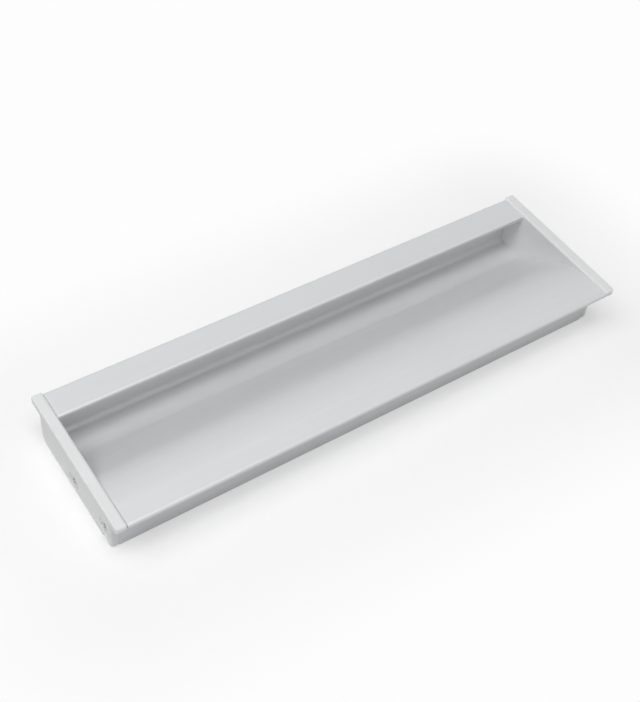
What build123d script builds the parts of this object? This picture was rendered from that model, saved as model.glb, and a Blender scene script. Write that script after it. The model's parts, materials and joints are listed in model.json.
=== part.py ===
from build123d import *
import math
import os

# Recessed pull handle, lying face up: an aluminium extrusion with a grip ledge, a finger recess and a
# front flange, closed by a moulded cap at each end. Each cap is held by two countersunk screws.
# X runs along the handle, +Y points from the front flange to the grip ledge, +Z points out of the recess.
# The origin is at the centre of the footprint, on the face that the handle rests on. Millimetres.

# Overall sizes
length = 170.0
depth = 49.1
body_height = 17.4

# Section of the extrusion
flange_thickness = 1.8
flange_nose_flat = 0.1
skin = 1.5
back_wall = 1.3
leg_wall = 1.4
leg_setback = 6.3
leg_root_radius = 0.5
back_overhang = 1.3
ledge_width = 9.4
ledge_lip_radius = 0.7
ledge_under_radius = 0.4
ledge_back_radius = 0.5
ledge_root_radius = 0.8
knee_setback = 15.0
floor_width = 9.45
swell_radius = 26.0
foot_radius = 6.0
heel_radius = 3.0
edge_break = 0.3
end_deburr = 0.12

# Screw ports
port_bore = 2.4
port_wall = 1.4
port_mouth = 1.2
port_cover = 0.4
port_sink = 0.6
rear_port_height = 4.56
front_port_height = 6.1

# End caps
cap_strip = 3.4
cap_side_inset = 1.0
cap_rise = 0.4
cap_back_overhang = 0.4
cap_inner_radius = 0.8
cap_outer_radius = 0.4
cap_front_corner_radius = 1.2
cap_back_corner_radius = 0.6
cap_toe_radius = 1.0
cap_wall_edge_radius = 0.9
rib_wall = 1.6
rib_reach = 6.0
rib_start_angle = 12.0
rib_end_angle = 33.0
rib_clearance = 0.15
rib_lead_in = 0.4
notch_width = 3.2
notch_height = 2.2

# Screws
screw_length = 9.5
screw_head_diameter = 5.5
screw_shank_diameter = 2.3
screw_tip_length = 2.0
screw_tip_diameter = 0.8
screw_head_sink = 0.2
screw_head_clearance = 0.05
screw_hole_clearance = 0.45
recess_span = 3.0
recess_width = 0.9
recess_depth = 1.2
recess_taper = 8.0

# Places worked out from the sizes above
front = -(depth + cap_back_overhang) / 2
back = front + depth
top = body_height
under_flange = top - flange_thickness
nose_radius = (flange_thickness - flange_nose_flat) / 2
leg_y = front + leg_setback
lip_y = back - ledge_width
heel_y = back - back_overhang
seam_x = length / 2 - cap_strip
cap_face_x = length / 2 - cap_side_inset
cap_top = top + cap_rise
cap_back = back + cap_back_overhang

# The slope runs straight between two sharp corners, the knee and the foot, which the swell and the foot round
knee_y = front + knee_setback
foot_y = heel_y - back_wall - floor_width
slope_rise = (top - skin) / (foot_y - knee_y)
slope_angle = math.atan(slope_rise)
skin_drop = skin / math.cos(slope_angle)

# The rounded hollow under the swell
hollow_radius = swell_radius - skin
hollow_y = knee_y - swell_radius * math.tan(slope_angle / 2) + (flange_thickness - skin) / slope_rise
hollow_z = under_flange - hollow_radius


def slope_y(z):
    """Gives where the upper face of the slope is at height z."""
    return foot_y - (z - skin) / slope_rise


# Centres of the two screw ports, as (y, z): the rear one hangs under the slope, the front one is on the leg
port_radius = port_bore / 2 + port_wall
rear_port_drop = (skin + port_cover + port_bore / 2) / math.cos(slope_angle)
rear_port = (slope_y(rear_port_height + rear_port_drop), rear_port_height)
front_port = (leg_y + leg_wall + port_radius - port_sink, front_port_height)
ports = {"front": front_port, "rear": rear_port}


def rounded(outline, corners):
    """Rounds an outline's corners, given as (y, z, radius)."""
    for y, z, radius in corners:
        corner = outline.vertices().sort_by_distance((y, z, 0))[0]
        outline = fillet(corner, radius)
    return outline


def block(y_low, z_low, y_high, z_high):
    """Draws a rectangle between two corners of the section."""
    centre = Pos((y_low + y_high) / 2, (z_low + z_high) / 2)
    return centre * Rectangle(y_high - y_low, z_high - z_low)


def skin_section():
    """Draws the flange, the slope, the floor, the back wall and the grip ledge as one bent band."""
    nose_top = (front, top)
    knee_top = (knee_y, top)
    foot_top = (foot_y, skin)
    heel_top = (heel_y - back_wall, skin)
    root = (heel_y - back_wall, under_flange)
    lip_low = (lip_y, under_flange)
    lip_top = (lip_y, top)
    ledge_top = (back, top)
    ledge_low = (back, under_flange)
    neck = (heel_y, under_flange)
    heel_low = (heel_y, 0)
    foot_low = (slope_y(skin_drop), 0)
    knee_low = (slope_y(under_flange + skin_drop), under_flange)
    nose_low = (front, under_flange)
    points = [nose_top, knee_top, foot_top, heel_top, root, lip_low, lip_top, ledge_top]
    points += [ledge_low, neck, heel_low, foot_low, knee_low, nose_low]
    band = make_face(Polyline(*points, close=True))
    return rounded(
        band,
        [
            (*nose_top, nose_radius),
            (*nose_low, nose_radius),
            (*knee_top, swell_radius),
            (*foot_top, foot_radius),
            (*heel_top, heel_radius - back_wall),
            (*root, ledge_root_radius),
            (*lip_low, ledge_under_radius),
            (*lip_top, ledge_lip_radius),
            (*ledge_top, ledge_back_radius),
            (*ledge_low, edge_break),
            (*heel_low, heel_radius),
            (*foot_low, foot_radius + skin),
            (*knee_low, hollow_radius),
        ],
    )


def profile_section():
    """Adds the front leg and the two screw ports to the bent band."""
    section = skin_section()
    leg_back = leg_y + leg_wall
    section += block(leg_y, 0, leg_back, under_flange + flange_thickness / 2)
    section = rounded(
        section,
        [
            (leg_y, under_flange, leg_root_radius),
            (leg_back, under_flange, leg_root_radius),
            (leg_y, 0, edge_break),
            (leg_back, 0, edge_break),
        ],
    )
    for y, z in ports.values():
        section += Pos(y, z) * Circle(port_radius)
    rear_y, rear_z = rear_port
    front_y, front_z = front_port
    for y, z in ports.values():
        section -= Pos(y, z) * Circle(port_bore / 2)
    section -= block(rear_y - port_mouth / 2, rear_z - 2 * port_radius, rear_y + port_mouth / 2, rear_z)
    section -= block(front_y, front_z - port_mouth / 2, front_y + 2 * port_radius, front_z + port_mouth / 2)
    return section


def handle_profile():
    """Extrudes the section between the caps and breaks the sawn edges that show."""
    bar = extrude(Plane.YZ * profile_section(), amount=seam_x, both=True)
    ends = bar.faces().filter_by(Axis.X)
    shown = [e for f in ends for e in f.edges() if e.center().Z > top - end_deburr]
    return chamfer(shown, end_deburr)


def cap_flange():
    """Makes the strip on top of a cap, with the extrusion's rounded front edge and rounded plan corners."""
    side = block(front, under_flange, cap_back, cap_top)
    side = rounded(side, [(front, cap_top, nose_radius), (front, under_flange, nose_radius)])
    strip = Pos(seam_x, 0, 0) * extrude(Plane.YZ * side, amount=cap_strip)
    plan = Pos(seam_x + cap_strip / 2, (front + cap_back) / 2) * Rectangle(cap_strip, cap_back - front)
    plan = rounded(
        plan,
        [
            (seam_x + cap_strip, front, cap_front_corner_radius),
            (seam_x + cap_strip, cap_back, cap_back_corner_radius),
        ],
    )
    blank = extrude(plan, amount=cap_top)
    upper = blank.faces().sort_by(Axis.Z)[-1]
    rim = [e for e in upper.edges() if e.center().X > seam_x + edge_break]
    return strip & fillet(rim, cap_outer_radius)


def cap_wall():
    """Makes the side wall of a cap, which follows the outline of the extrusion's body."""
    outline = block(leg_y, 0, heel_y, under_flange)
    outline = rounded(outline, [(leg_y, 0, cap_toe_radius), (heel_y, 0, heel_radius)])
    wall = Pos(seam_x, 0, 0) * extrude(Plane.YZ * outline, amount=cap_face_x - seam_x)
    face = wall.faces().sort_by(Axis.X)[-1]
    rim = [e for e in face.edges() if e.center().Z < under_flange - edge_break]
    return fillet(rim, cap_wall_edge_radius)


def locating_rib():
    """Makes the curved rib of a cap that slides in under the swell of the extrusion."""
    radius = hollow_radius - rib_clearance - rib_wall / 2
    arc = CenterArc((hollow_y, hollow_z), radius, 90 - rib_end_angle, rib_end_angle - rib_start_angle)
    rib = extrude(Plane.YZ * trace(arc, rib_wall), amount=-rib_reach)
    tip = rib.faces().sort_by(Axis.X)[0]
    return Pos(seam_x, 0, 0) * chamfer(tip.edges(), rib_lead_in)


def screw_hole(y, z):
    """Makes the cutter for a countersunk hole through the wall of a cap."""
    wide = screw_head_diameter / 2 + screw_head_sink + screw_head_clearance
    narrow = screw_shank_diameter / 2 + screw_hole_clearance
    wall = cap_face_x - seam_x
    outline = Polyline(
        (0, 0),
        (wide, 0),
        (narrow, wide - narrow),
        (narrow, wall),
        (0, wall),
        close=True,
    )
    cutter = revolve(Plane.XY * make_face(outline), Axis.Y)
    return Pos(cap_face_x, y, z) * Rot(0, 0, 90) * cutter


def notch():
    """Makes the cutter for the round-topped notch in the lower edge of a cap's wall."""
    y, _ = front_port
    shape = block(y - notch_width / 2, 0, y + notch_width / 2, notch_height - notch_width / 2)
    shape += Pos(y, notch_height - notch_width / 2) * Circle(notch_width / 2)
    return Pos(seam_x, 0, 0) * extrude(Plane.YZ * shape, amount=cap_strip)


def right_end_cap():
    """Joins the strip, the wall and the rib, then cuts the holes and the notch."""
    cap = cap_flange() + cap_wall() + locating_rib()
    for y, z in ports.values():
        cap -= screw_hole(y, z)
    cap -= notch()
    inner = [e for e in cap.edges().filter_by(Axis.Y) if abs(e.center().X - seam_x) < edge_break]
    cap = fillet([e for e in inner if e.center().Z > top], cap_inner_radius)
    return cap


def screw():
    """Makes a countersunk self-tapping screw that points along -X, with the top of its head at X = 0."""
    head = screw_head_diameter / 2
    shank = screw_shank_diameter / 2
    outline = Polyline(
        (0, 0),
        (head, 0),
        (shank, head - shank),
        (shank, screw_length - screw_tip_length),
        (screw_tip_diameter / 2, screw_length),
        (0, screw_length),
        close=True,
    )
    blank = Rot(0, 0, 90) * revolve(Plane.XY * make_face(outline), Axis.Y)
    cross = Rectangle(recess_span, recess_width) + Rectangle(recess_width, recess_span)
    recess = extrude(Plane.YZ * cross, amount=-recess_depth, taper=recess_taper)
    return blank - recess


def main():
    """Builds every piece and writes one file for each."""
    pieces = {"handle_profile": handle_profile()}
    cap = right_end_cap()
    pieces["right_end_cap"] = cap
    pieces["left_end_cap"] = mirror(cap, about=Plane.YZ)
    for name, (y, z) in ports.items():
        seated = Pos(cap_face_x - screw_head_sink, y, z) * screw()
        pieces[f"right_{name}_screw"] = seated
        pieces[f"left_{name}_screw"] = mirror(seated, about=Plane.YZ)
    os.makedirs("parts", exist_ok=True)
    for name, piece in pieces.items():
        export_step(piece, f"parts/{name}.step")


main()
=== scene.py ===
import json
import math

import bpy
from mathutils import Matrix, Vector


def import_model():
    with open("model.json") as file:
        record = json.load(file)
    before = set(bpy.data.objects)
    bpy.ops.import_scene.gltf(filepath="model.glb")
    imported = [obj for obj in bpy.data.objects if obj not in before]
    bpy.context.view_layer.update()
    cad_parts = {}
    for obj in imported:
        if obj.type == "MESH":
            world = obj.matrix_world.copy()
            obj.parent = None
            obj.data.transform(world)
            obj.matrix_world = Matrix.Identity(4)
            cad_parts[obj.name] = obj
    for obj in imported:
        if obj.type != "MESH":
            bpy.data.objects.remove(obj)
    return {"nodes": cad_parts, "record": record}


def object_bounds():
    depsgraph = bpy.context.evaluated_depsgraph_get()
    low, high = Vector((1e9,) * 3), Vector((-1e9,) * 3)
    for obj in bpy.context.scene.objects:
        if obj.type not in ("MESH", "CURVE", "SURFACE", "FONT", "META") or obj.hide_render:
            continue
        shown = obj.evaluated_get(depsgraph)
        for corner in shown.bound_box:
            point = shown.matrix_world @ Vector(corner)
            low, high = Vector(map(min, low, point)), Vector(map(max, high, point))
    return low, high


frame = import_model()
cad_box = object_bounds()

# Metres throughout. X runs along the handle, +Y points from the front flange to the grip ledge, +Z is up.
MM = 0.001

# Camera, found from the straight edges of the flange, the ledge and the body in the photograph. The long
# side and the focal length are in pixels, the sensor in millimetres and the angles in radians.
PHOTO_LONG_SIDE = 702
FOCAL_PIXELS = 1200.14
SENSOR = 36.0
CAMERA_YAW = -0.68086
CAMERA_PITCH = 0.85015
CAMERA_ROLL = 0.12338
CAMERA_EYE = Vector((-149.86, -175.72, 274.54)) * MM
CLIP_START = 10 * MM
CLIP_END = 10.0

# Lamps, each a round soft box: direction from the handle, distance, diameter and power in watts
LAMPS = {
    "key": ((-0.10, -0.16, 1.0), 1.4, 0.34, 2.1),
    "left_high": ((-0.5, 0.0, 1.0), 0.8, 0.45, 2.3),
    "front_high": ((-0.10, -0.33, 1.0), 1.2, 0.50, 3.5),
}
AMBIENT = 0.21
WHITE = (1.0, 1.0, 1.0, 1.0)

# Floor: near the handle it is shaded white over an even glow, and further off it turns to plain glow
FLOOR_SIZE = 4.0
FLOOR_COLOUR = (0.90, 0.90, 0.90, 1.0)
SEEN_FLOOR_COLOUR = (0.56, 0.56, 0.56, 1.0)
SEEN_FLOOR_GLOW = 0.42
BACKGROUND = 0.985
SHADOW_FADE = (4 * MM, 60 * MM)

# Finishes: linear colours, ranges of roughness, and depths of relief
ALUMINIUM_METALLIC = 0.24
ALUMINIUM = (0.704, 0.713, 0.721, 1.0)
ALUMINIUM_DARK = (0.677, 0.686, 0.695, 1.0)
ALUMINIUM_ROUGHNESS = (0.50, 0.58)
ALUMINIUM_RELIEF = 0.005 * MM
CAP = (0.825, 0.832, 0.836, 1.0)
CAP_DARK = (0.795, 0.802, 0.806, 1.0)
CAP_ROUGHNESS = (0.50, 0.62)
CAP_RELIEF = 0.010 * MM
STEEL_METALLIC = 1.0
STEEL = (0.62, 0.62, 0.63, 1.0)
STEEL_DARK = (0.50, 0.50, 0.51, 1.0)
STEEL_ROUGHNESS = (0.28, 0.42)
STEEL_RELIEF = 0.006 * MM

# Textures: cycles per metre along X, Y and Z. What the extrusion die leaves is drawn out along X.
DIE_LINES = (14.0, 2600.0, 2600.0)
STREAKS = (6.0, 520.0, 520.0)
ETCHED_GRAIN = (5200.0, 5200.0, 5200.0)
METAL_CLOUD = (45.0, 90.0, 90.0)
MOULD_TEXTURE = (3800.0, 3800.0, 3800.0)
CAP_CLOUD = (70.0, 70.0, 70.0)
PLATING = (2400.0, 2400.0, 2400.0)
GRAIN_SHARE = 0.4
CLOUD_SHARE = 0.35

# Most of a noise lies in this range of its values
NOISE_MIDDLE = (0.3, 0.7)


def empty_material(name):
    """Makes a node material with nothing on its surface, and gives it with its tree and that surface."""
    material = bpy.data.materials.new(name)
    material.use_nodes = True
    tree = material.node_tree
    tree.nodes.clear()
    output = tree.nodes.new("ShaderNodeOutputMaterial")
    return material, tree, output.inputs["Surface"]


def new_material(name, metallic=0.0):
    """Makes a material with one main shader, and gives it with its tree and that shader."""
    material, tree, surface = empty_material(name)
    shader = tree.nodes.new("ShaderNodeBsdfPrincipled")
    shader.inputs["Metallic"].default_value = metallic
    tree.links.new(shader.outputs["BSDF"], surface)
    return material, tree, shader


def place(tree, scale):
    """Gives object coordinates in metres, stretched by a scale for each axis."""
    coordinates = tree.nodes.new("ShaderNodeTexCoord")
    mapping = tree.nodes.new("ShaderNodeMapping")
    mapping.inputs["Scale"].default_value = scale
    tree.links.new(coordinates.outputs["Object"], mapping.inputs["Vector"])
    return mapping.outputs["Vector"]


def noise(tree, scale, detail):
    """Gives a noise value from 0 to 1, whose scale is cycles per metre on each axis."""
    texture = tree.nodes.new("ShaderNodeTexNoise")
    texture.inputs["Scale"].default_value = 1.0
    texture.inputs["Detail"].default_value = detail
    tree.links.new(place(tree, scale), texture.inputs["Vector"])
    return texture.outputs["Fac"]


def spread(tree, value, low=0.0, high=1.0):
    """Maps the middle of a noise value to a range."""
    node = tree.nodes.new("ShaderNodeMapRange")
    node.inputs["From Min"].default_value, node.inputs["From Max"].default_value = NOISE_MIDDLE
    node.inputs["To Min"].default_value = low
    node.inputs["To Max"].default_value = high
    tree.links.new(value, node.inputs["Value"])
    return node.outputs["Result"]


def blend_colours(tree, value, first, second):
    """Mixes two colours by a value."""
    node = tree.nodes.new("ShaderNodeMix")
    node.data_type = "RGBA"
    node.inputs["A"].default_value = first
    node.inputs["B"].default_value = second
    tree.links.new(value, node.inputs["Factor"])
    return node.outputs["Result"]


def blend_values(tree, first, second, share):
    """Mixes two values, with a share for the second."""
    node = tree.nodes.new("ShaderNodeMix")
    node.inputs["Factor"].default_value = share
    tree.links.new(first, node.inputs["A"])
    tree.links.new(second, node.inputs["B"])
    return node.outputs["Result"]


def bump(tree, shader, height, distance):
    """Gives a shader a bump from a height value."""
    node = tree.nodes.new("ShaderNodeBump")
    node.inputs["Distance"].default_value = distance
    tree.links.new(height, node.inputs["Height"])
    tree.links.new(node.outputs["Normal"], shader.inputs["Normal"])


def anodised_aluminium():
    """Satin anodised extrusion: streaks and die lines along X, a fine etched grain and faint clouding."""
    material, tree, shader = new_material("anodised_aluminium", ALUMINIUM_METALLIC)
    die_lines = noise(tree, DIE_LINES, detail=3.0)
    grain = noise(tree, ETCHED_GRAIN, detail=1.0)
    streaks = noise(tree, STREAKS, detail=4.0)
    cloud = noise(tree, METAL_CLOUD, detail=3.0)
    relief = blend_values(tree, die_lines, grain, GRAIN_SHARE)
    tone = blend_values(tree, streaks, cloud, CLOUD_SHARE)
    colour = blend_colours(tree, spread(tree, tone), ALUMINIUM_DARK, ALUMINIUM)
    tree.links.new(colour, shader.inputs["Base Color"])
    tree.links.new(spread(tree, tone, *ALUMINIUM_ROUGHNESS), shader.inputs["Roughness"])
    bump(tree, shader, relief, ALUMINIUM_RELIEF)
    return material


def cap_plastic():
    """Moulded plastic with a fine spark-eroded texture."""
    material, tree, shader = new_material("cap_plastic")
    fine = noise(tree, MOULD_TEXTURE, detail=2.0)
    cloud = noise(tree, CAP_CLOUD, detail=2.0)
    colour = blend_colours(tree, spread(tree, cloud), CAP_DARK, CAP)
    tree.links.new(colour, shader.inputs["Base Color"])
    tree.links.new(spread(tree, fine, *CAP_ROUGHNESS), shader.inputs["Roughness"])
    bump(tree, shader, fine, CAP_RELIEF)
    return material


def screw_steel():
    """Zinc-plated steel, a little uneven."""
    material, tree, shader = new_material("screw_steel", STEEL_METALLIC)
    fine = noise(tree, PLATING, detail=3.0)
    colour = blend_colours(tree, spread(tree, fine), STEEL_DARK, STEEL)
    tree.links.new(colour, shader.inputs["Base Color"])
    tree.links.new(spread(tree, fine, *STEEL_ROUGHNESS), shader.inputs["Roughness"])
    bump(tree, shader, fine, STEEL_RELIEF)
    return material


def dress(materials):
    """Gives every node the material of its slot."""
    slots = {part["node"]: part["material_slot"] for part in frame["record"]["subparts"]}
    for name, node in frame["nodes"].items():
        node.data.materials.clear()
        node.data.materials.append(materials[slots[name]])
        for polygon in node.data.polygons:
            polygon.use_smooth = True


def seen_directly(tree):
    """Gives 1 for rays from the camera, and for those that metal or glass sends on."""
    path = tree.nodes.new("ShaderNodeLightPath")
    value = path.outputs["Is Camera Ray"]
    for name in ("Is Glossy Ray", "Is Transmission Ray"):
        node = tree.nodes.new("ShaderNodeMath")
        node.operation = "MAXIMUM"
        tree.links.new(value, node.inputs[0])
        tree.links.new(path.outputs[name], node.inputs[1])
        value = node.outputs["Value"]
    return value


def far_from(tree, box, near, far):
    """Gives 0 up to a near distance outside a box on the floor, and 1 beyond a far one."""
    low, high = box
    coordinates = tree.nodes.new("ShaderNodeTexCoord")
    value = coordinates.outputs["Object"]
    half_size = (max(-low[0], high[0]), max(-low[1], high[1]), 0.0)
    steps = (("ABSOLUTE", None), ("SUBTRACT", half_size), ("MAXIMUM", (0.0, 0.0, 0.0)), ("LENGTH", None))
    for operation, second in steps:
        node = tree.nodes.new("ShaderNodeVectorMath")
        node.operation = operation
        tree.links.new(value, node.inputs[0])
        if second is not None:
            node.inputs[1].default_value = second
        value = node.outputs["Value" if operation == "LENGTH" else "Vector"]
    share = tree.nodes.new("ShaderNodeMapRange")
    share.interpolation_type = "SMOOTHSTEP"
    share.inputs["From Min"].default_value = near
    share.inputs["From Max"].default_value = far
    tree.links.new(value, share.inputs["Value"])
    return share.outputs["Result"]


def matt(tree, colour):
    """Gives a matt surface that takes light and shadow."""
    node = tree.nodes.new("ShaderNodeBsdfDiffuse")
    node.inputs["Color"].default_value = colour
    return node.outputs["BSDF"]


def glowing(tree, strength):
    """Gives a white surface that glows evenly, whatever lights it."""
    node = tree.nodes.new("ShaderNodeEmission")
    node.inputs["Strength"].default_value = strength
    return node.outputs["Emission"]


def choose(tree, share, first, second):
    """Mixes two surfaces, with a share for the second."""
    node = tree.nodes.new("ShaderNodeMixShader")
    tree.links.new(share, node.inputs["Fac"])
    tree.links.new(first, node.inputs[1])
    tree.links.new(second, node.inputs[2])
    return node.outputs["Shader"]


def floor_material():
    """Plain white where it lights the handle. Where it is seen, it fades from shaded to even white."""
    material, tree, surface = empty_material("floor")
    shaded = tree.nodes.new("ShaderNodeAddShader")
    tree.links.new(matt(tree, SEEN_FLOOR_COLOUR), shaded.inputs[0])
    tree.links.new(glowing(tree, SEEN_FLOOR_GLOW), shaded.inputs[1])
    distance = far_from(tree, cad_box, *SHADOW_FADE)
    seen = choose(tree, distance, shaded.outputs["Shader"], glowing(tree, BACKGROUND))
    tree.links.new(choose(tree, seen_directly(tree), matt(tree, FLOOR_COLOUR), seen), surface)
    return material


def floor():
    """A wide white floor that keeps the shadow close to the handle."""
    half = FLOOR_SIZE / 2
    corners = [(-half, -half, 0), (half, -half, 0), (half, half, 0), (-half, half, 0)]
    mesh = bpy.data.meshes.new("floor")
    mesh.from_pydata(corners, [], [(0, 1, 2, 3)])
    mesh.materials.append(floor_material())
    plane = bpy.data.objects.new("floor", mesh)
    bpy.context.scene.collection.objects.link(plane)


def world():
    """An even white surround: the background's white where it is seen, softer where it lights."""
    surround = bpy.data.worlds.new("surround")
    surround.use_nodes = True
    tree = surround.node_tree
    background = tree.nodes["Background"]
    background.inputs["Color"].default_value = WHITE
    strength = tree.nodes.new("ShaderNodeMapRange")
    strength.inputs["To Min"].default_value = AMBIENT
    strength.inputs["To Max"].default_value = BACKGROUND
    tree.links.new(seen_directly(tree), strength.inputs["Value"])
    tree.links.new(strength.outputs["Result"], background.inputs["Strength"])
    bpy.context.scene.world = surround


def soft_box(name, direction, distance, size, power):
    """A round lamp that points at the origin, under the middle of the handle."""
    lamp = bpy.data.lights.new(name, "AREA")
    lamp.shape = "DISK"
    lamp.size = size
    lamp.energy = power
    holder = bpy.data.objects.new(name, lamp)
    direction = Vector(direction).normalized()
    holder.location = direction * distance
    holder.rotation_euler = (-direction).to_track_quat("-Z", "Y").to_euler()
    bpy.context.scene.collection.objects.link(holder)


def camera():
    """The photograph's camera."""
    back = Vector(
        (
            math.sin(CAMERA_YAW) * math.cos(CAMERA_PITCH),
            -math.cos(CAMERA_YAW) * math.cos(CAMERA_PITCH),
            math.sin(CAMERA_PITCH),
        )
    )
    level = Vector((math.cos(CAMERA_YAW), math.sin(CAMERA_YAW), 0.0))
    up = back.cross(level)
    right = math.cos(CAMERA_ROLL) * level + math.sin(CAMERA_ROLL) * up
    up = back.cross(right)
    data = bpy.data.cameras.new("camera")
    data.sensor_width = SENSOR
    data.lens = FOCAL_PIXELS * SENSOR / PHOTO_LONG_SIDE
    data.clip_start = CLIP_START
    data.clip_end = CLIP_END
    holder = bpy.data.objects.new("camera", data)
    turn = Matrix((right, up, back)).transposed().to_4x4()
    holder.matrix_world = Matrix.Translation(CAMERA_EYE) @ turn
    bpy.context.scene.collection.objects.link(holder)
    bpy.context.scene.camera = holder


dress(
    {
        "anodised_aluminium": anodised_aluminium(),
        "cap_plastic": cap_plastic(),
        "screw_steel": screw_steel(),
    }
)
floor()
world()
for name, lamp in LAMPS.items():
    soft_box(name, *lamp)
camera()
bpy.context.scene.view_settings.view_transform = "Standard"
